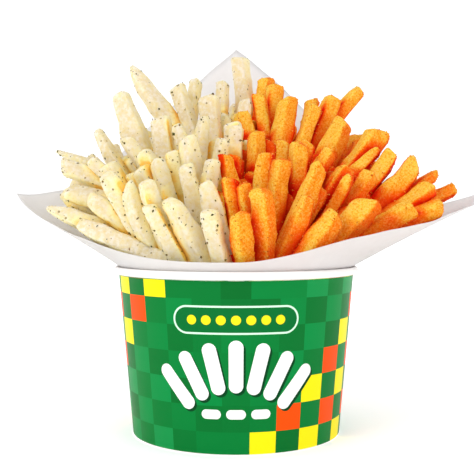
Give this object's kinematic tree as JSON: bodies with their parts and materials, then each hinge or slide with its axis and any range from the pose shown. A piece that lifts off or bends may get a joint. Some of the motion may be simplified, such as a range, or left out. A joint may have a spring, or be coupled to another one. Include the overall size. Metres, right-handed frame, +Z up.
{
  "type": "french fries in a lined paper tub",
  "caption": "Two flavours of straight-cut french fries, herb-specked and cheese-powdered, fanned out of a round paper tub lined with a flared sheet of greaseproof paper.",
  "frame": {"origin": "on the surface the tub stands on, under the middle of the whole object's box; the tub's own axis is 8.3 mm to -X and 32.8 mm to -Y of it", "axes": "+Z up along the tub's axis; the front faces -Y, the herb fries are at -X and the cheese fries at +X"},
  "size_m": [0.2922, 0.2193, 0.2501],
  "materials": {
    "printed_board": "coated board printed in green checks with yellow and orange squares, white rolled rim",
    "plain_board": "uncoated white board",
    "greaseproof_paper": "thin white greaseproof paper, slightly translucent",
    "herb_fry": "pale golden fried potato with dried herb specks",
    "cheese_fry": "fried potato coated with orange cheese powder"
  },
  "bodies": {
    "root": {"tub_wall": "printed_board", "tub_base": "plain_board", "liner": "greaseproof_paper", "herb_fries": "herb_fry", "cheese_fries": "cheese_fry"}
  },
  "joints": []
}
